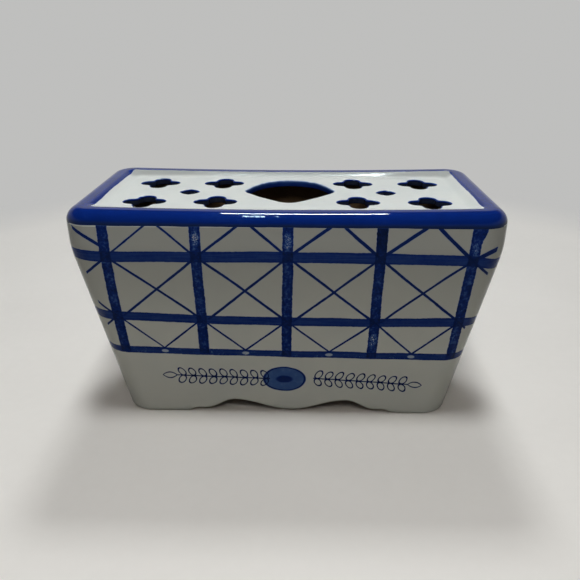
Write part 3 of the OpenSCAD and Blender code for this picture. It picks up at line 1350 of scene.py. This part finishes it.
def table():
    """The floor of the stage. It takes shadows near the object and shines as the backdrop far from it."""
    half = TABLE_SIZE / 2
    corners = [(-half, -half, 0), (half, -half, 0), (half, half, 0), (-half, half, 0)]
    mesh = bpy.data.meshes.new("table")
    mesh.from_pydata(corners, [], [(0, 1, 2, 3)])
    surface = Surface("table_cloth")
    shows = rays_that_show(surface.tree)
    tone = surface.noise(TABLE_COARSE) + surface.noise(TABLE_FINE)
    cloth = surface.mixed(shows, TABLE_SHADE, surface.mixed(tone.ramp(*TABLE_FADE), *TABLE_TONES))
    x, y, _ = surface.parts(surface.place)
    far = x.root_of_squares(y).ramp(*BACKDROP_FADE) * shows
    surface.shader.inputs["Specular IOR Level"].default_value = 0.0
    surface.shader.inputs["Emission Color"].default_value = (*BACKDROP_TINT, 1.0)
    surface.tree.links.new((far * BACKDROP_LEVEL).output, surface.shader.inputs["Emission Strength"])
    colour = surface.mixed(far, cloth, BLACK)
    mesh.materials.append(surface.finish(colour, surface.noise(TABLE_ROUGH_WANDER) + TABLE_ROUGHNESS))
    made = bpy.data.objects.new("table", mesh)
    bpy.context.scene.collection.objects.link(made)
    return made


table()

# The light of the room: brightest in one direction behind the object and above it, and dim at the sides
ROOM_BACK = 0.60
ROOM_UP = 0.80
ROOM_FADE = (-0.1, 1.0)
ROOM_SIDES = (0.9, 0.1)
ROOM_LIGHT = 0.15
ROOM_LEAST = 0.037
# What the glaze mirrors of it: the backdrop low down, and a dim ceiling above
CEILING_LEVEL = 0.03
CEILING_FADE = (0.47, 0.33)


def room_light():
    """The world, with a strength for the light on things, for what a gloss mirrors and for the camera."""
    world = bpy.data.worlds.new("room")
    world.use_nodes = True
    tree = world.node_tree
    background = tree.nodes["Background"]
    direction = tree.nodes.new("ShaderNodeSeparateXYZ")
    tree.links.new(tree.nodes.new("ShaderNodeTexCoord").outputs["Generated"], direction.inputs[0])
    right, back, up = (Field(tree, output) for output in direction.outputs)
    bright = (back * ROOM_BACK + up * ROOM_UP).ramp(*ROOM_FADE) * abs(right).ramp(*ROOM_SIDES)
    light = bright * ROOM_LIGHT + ROOM_LEAST
    mirrored = up.ramp(*CEILING_FADE) * (BACKDROP_LEVEL - CEILING_LEVEL) + CEILING_LEVEL
    shown = mirrored + (mirrored * -1 + BACKDROP_LEVEL) * ray(tree, "Camera")
    strength = light + (shown - light) * rays_that_show(tree)
    background.inputs["Color"].default_value = (*BACKDROP_TINT, 1.0)
    tree.links.new(strength.output, background.inputs["Strength"])
    bpy.context.scene.world = world


# A rectangular lamp at a place, which faces a target. A lamp for the gloss only shows in the glaze, and the
# others only light things.
Lamp = namedtuple("Lamp", "name place target size power tint for_gloss")
COOL = (0.95, 1.0, 1.0)
WARM = (1.0, 0.96, 0.88)
rim_top = body_h * MM
LAMPS = [
    Lamp("front_lamp", (0.0, -0.105, 0.75), (0.0, -0.105, 0.0), (0.10, 0.14), 1.93, COOL, False),
    Lamp("fill_lamp", (0.0, -0.34, 0.36), (0.0, 0.0, 0.03), (0.03, 0.12), 0.365, WARM, False),
    Lamp("rear_lamp", (0.0, 0.60, 1.0), (0.0, 0.60, 0.0), (0.20, 0.20), 4.9, COOL, False),
    Lamp("back_lamp", (0.0054, 0.13, 0.286), (0.0054, -0.033, rim_top), (0.119, 0.0188), 0.95, COOL, True),
]
# Small lamps over the object that sparkle on the front rim: their places along it, and their widths
SPARKS = [(-0.0345, 0.003), (-0.0268, 0.004), (-0.0143, 0.002)]
SPARK_Z = 0.339
SPARK_TARGET_Y = -0.0337
SPARK_L = 0.06
SPARK_POWER_BY_WIDTH = 20


def spark(number, x, width):
    return Lamp(
        "spark_lamp_" + str(number),
        (x, 0.0, SPARK_Z),
        (x, SPARK_TARGET_Y, rim_top),
        (width, SPARK_L),
        width * SPARK_POWER_BY_WIDTH,
        COOL,
        True,
    )


def hang(lamp):
    """The object of a lamp, in the scene."""
    light = bpy.data.lights.new(lamp.name, "AREA")
    light.shape = "RECTANGLE"
    light.size, light.size_y = lamp.size
    light.energy = lamp.power
    light.color = lamp.tint
    made = bpy.data.objects.new(lamp.name, light)
    made.location = lamp.place
    made.rotation_euler = (Vector(lamp.target) - Vector(lamp.place)).to_track_quat("-Z", "Y").to_euler()
    made.visible_camera = False
    made.visible_glossy = lamp.for_gloss
    made.visible_diffuse = not lamp.for_gloss
    bpy.context.scene.collection.objects.link(made)


room_light()
for hung in LAMPS + [spark(number, x, width) for number, (x, width) in enumerate(SPARKS)]:
    hang(hung)

# The camera, as the photograph was taken: 580 by 580, with a focal length of 600 of its pixels
IMAGE_W = 580
FOCAL_PIXELS = 600
SENSOR_W = 36.0
CAMERA_PLACE = (0.00596, -0.22613, 0.14254)
CAMERA_DOWN = math.radians(24.01)
CAMERA_LEFT = math.radians(1.27)
CLIP_START = 0.01
camera = bpy.data.objects.new("camera", bpy.data.cameras.new("camera"))
camera.data.sensor_width = SENSOR_W
camera.data.lens = SENSOR_W * FOCAL_PIXELS / IMAGE_W
camera.data.clip_start = CLIP_START
camera.location = CAMERA_PLACE
camera.rotation_euler = (QUARTER - CAMERA_DOWN, 0.0, CAMERA_LEFT)
bpy.context.scene.collection.objects.link(camera)
bpy.context.scene.camera = camera
bpy.context.scene.view_settings.view_transform = "Standard"

bpy.context.view_layer.update()
